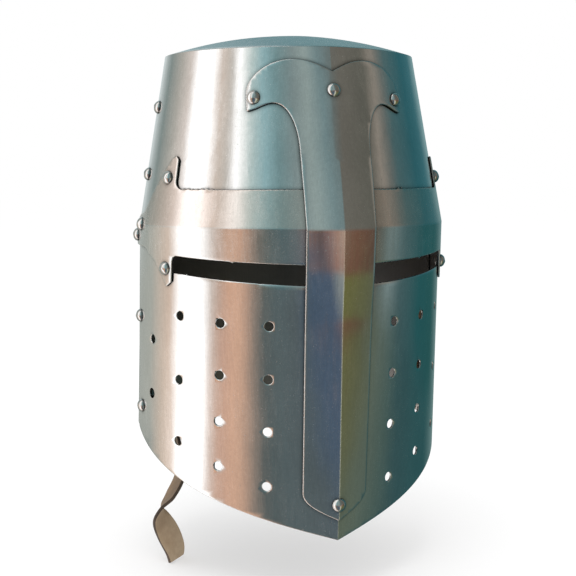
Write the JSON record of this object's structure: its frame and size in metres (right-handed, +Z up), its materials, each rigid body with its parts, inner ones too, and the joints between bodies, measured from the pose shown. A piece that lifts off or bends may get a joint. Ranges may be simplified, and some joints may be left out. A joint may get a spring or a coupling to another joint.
{
  "type": "knight helmet",
  "caption": "Great helm in riveted polished sheet steel with a keeled face, eye slits, breath holes, a scrolled cross bar, a laced leather liner and a buckled chin strap.",
  "frame": {"origin": "centre of the liner's crown, where it meets the top of the wearer's head", "axes": "+Z up, the face looks along -Y, +X is the wearer's left"},
  "size_m": [0.2298, 0.239, 0.3808],
  "materials": {
    "brushed_steel": "polished with a fine vertical grain",
    "bar_steel": "polished, with a finer grain",
    "dome_steel": "satin",
    "rivet_steel": "hammered and polished",
    "buckle_steel": "satin",
    "liner_leather": "vegetable tanned, oiled",
    "strap_leather": "vegetable tanned, worn edges",
    "lace_thong": "waxed"
  },
  "bodies": {
    "helmet": {"top_plate": "dome_steel", "upper_front_plate": "brushed_steel", "upper_rear_plate": "brushed_steel", "brow_band": "brushed_steel", "face_plate": "brushed_steel", "nape_plate": "brushed_steel", "cross_bar": "bar_steel", "cross_arm_rivets": "rivet_steel", "cross_head_rivet": "rivet_steel", "cross_foot_rivet": "rivet_steel", "brow_ear_rivets": "rivet_steel", "brow_ridge_rivets": "rivet_steel", "brow_end_rivets": "rivet_steel", "brow_corner_rivets": "rivet_steel", "upper_seam_rivets": "rivet_steel", "liner_side_rivets": "rivet_steel", "lower_seam_rivets": "rivet_steel", "strap_rivets": "rivet_steel", "rear_waist_rivets": "rivet_steel", "liner_rear_rivets": "rivet_steel", "liner_band": "liner_leather", "liner_tongue_1": "liner_leather", "liner_tongue_2": "liner_leather", "liner_tongue_3": "liner_leather", "liner_tongue_4": "liner_leather", "liner_tongue_5": "liner_leather", "liner_tongue_6": "liner_leather", "liner_tongue_7": "liner_leather", "liner_tongue_8": "liner_leather", "liner_lace": "lace_thong", "strap_washers": "rivet_steel"},
    "long_strap": {"chin_strap_long": "strap_leather"},
    "short_strap": {"chin_strap_short": "strap_leather"},
    "keeper": {"strap_keeper": "strap_leather"},
    "buckle": {"buckle_frame": "buckle_steel"},
    "prong": {"buckle_prong": "buckle_steel"}
  },
  "joints": [
    {"name": "long_strap_swing", "type": "hinge", "parent": "helmet", "child": "long_strap", "pos_m": [-0.1062, 0.0063, -0.151], "axis": [1, 0, 0], "range_deg": [-15, 15]},
    {"name": "short_strap_swing", "type": "hinge", "parent": "helmet", "child": "short_strap", "pos_m": [0.1062, 0.0063, -0.151], "axis": [1, 0, 0], "range_deg": [-12, 12]},
    {"name": "keeper_slide", "type": "slide", "parent": "short_strap", "child": "keeper", "axis": [0, 0, 1], "range_m": [-0.004, 0.008]},
    {"name": "buckle_tilt", "type": "hinge", "parent": "short_strap", "child": "buckle", "pos_m": [0.0997, 0.0063, -0.209], "axis": [0, 1, 0], "range_deg": [-5, 50]},
    {"name": "prong_lift", "type": "hinge", "parent": "buckle", "child": "prong", "pos_m": [0.0997, 0.0063, -0.209], "axis": [0, 1, 0], "range_deg": [0, 68]}
  ]
}
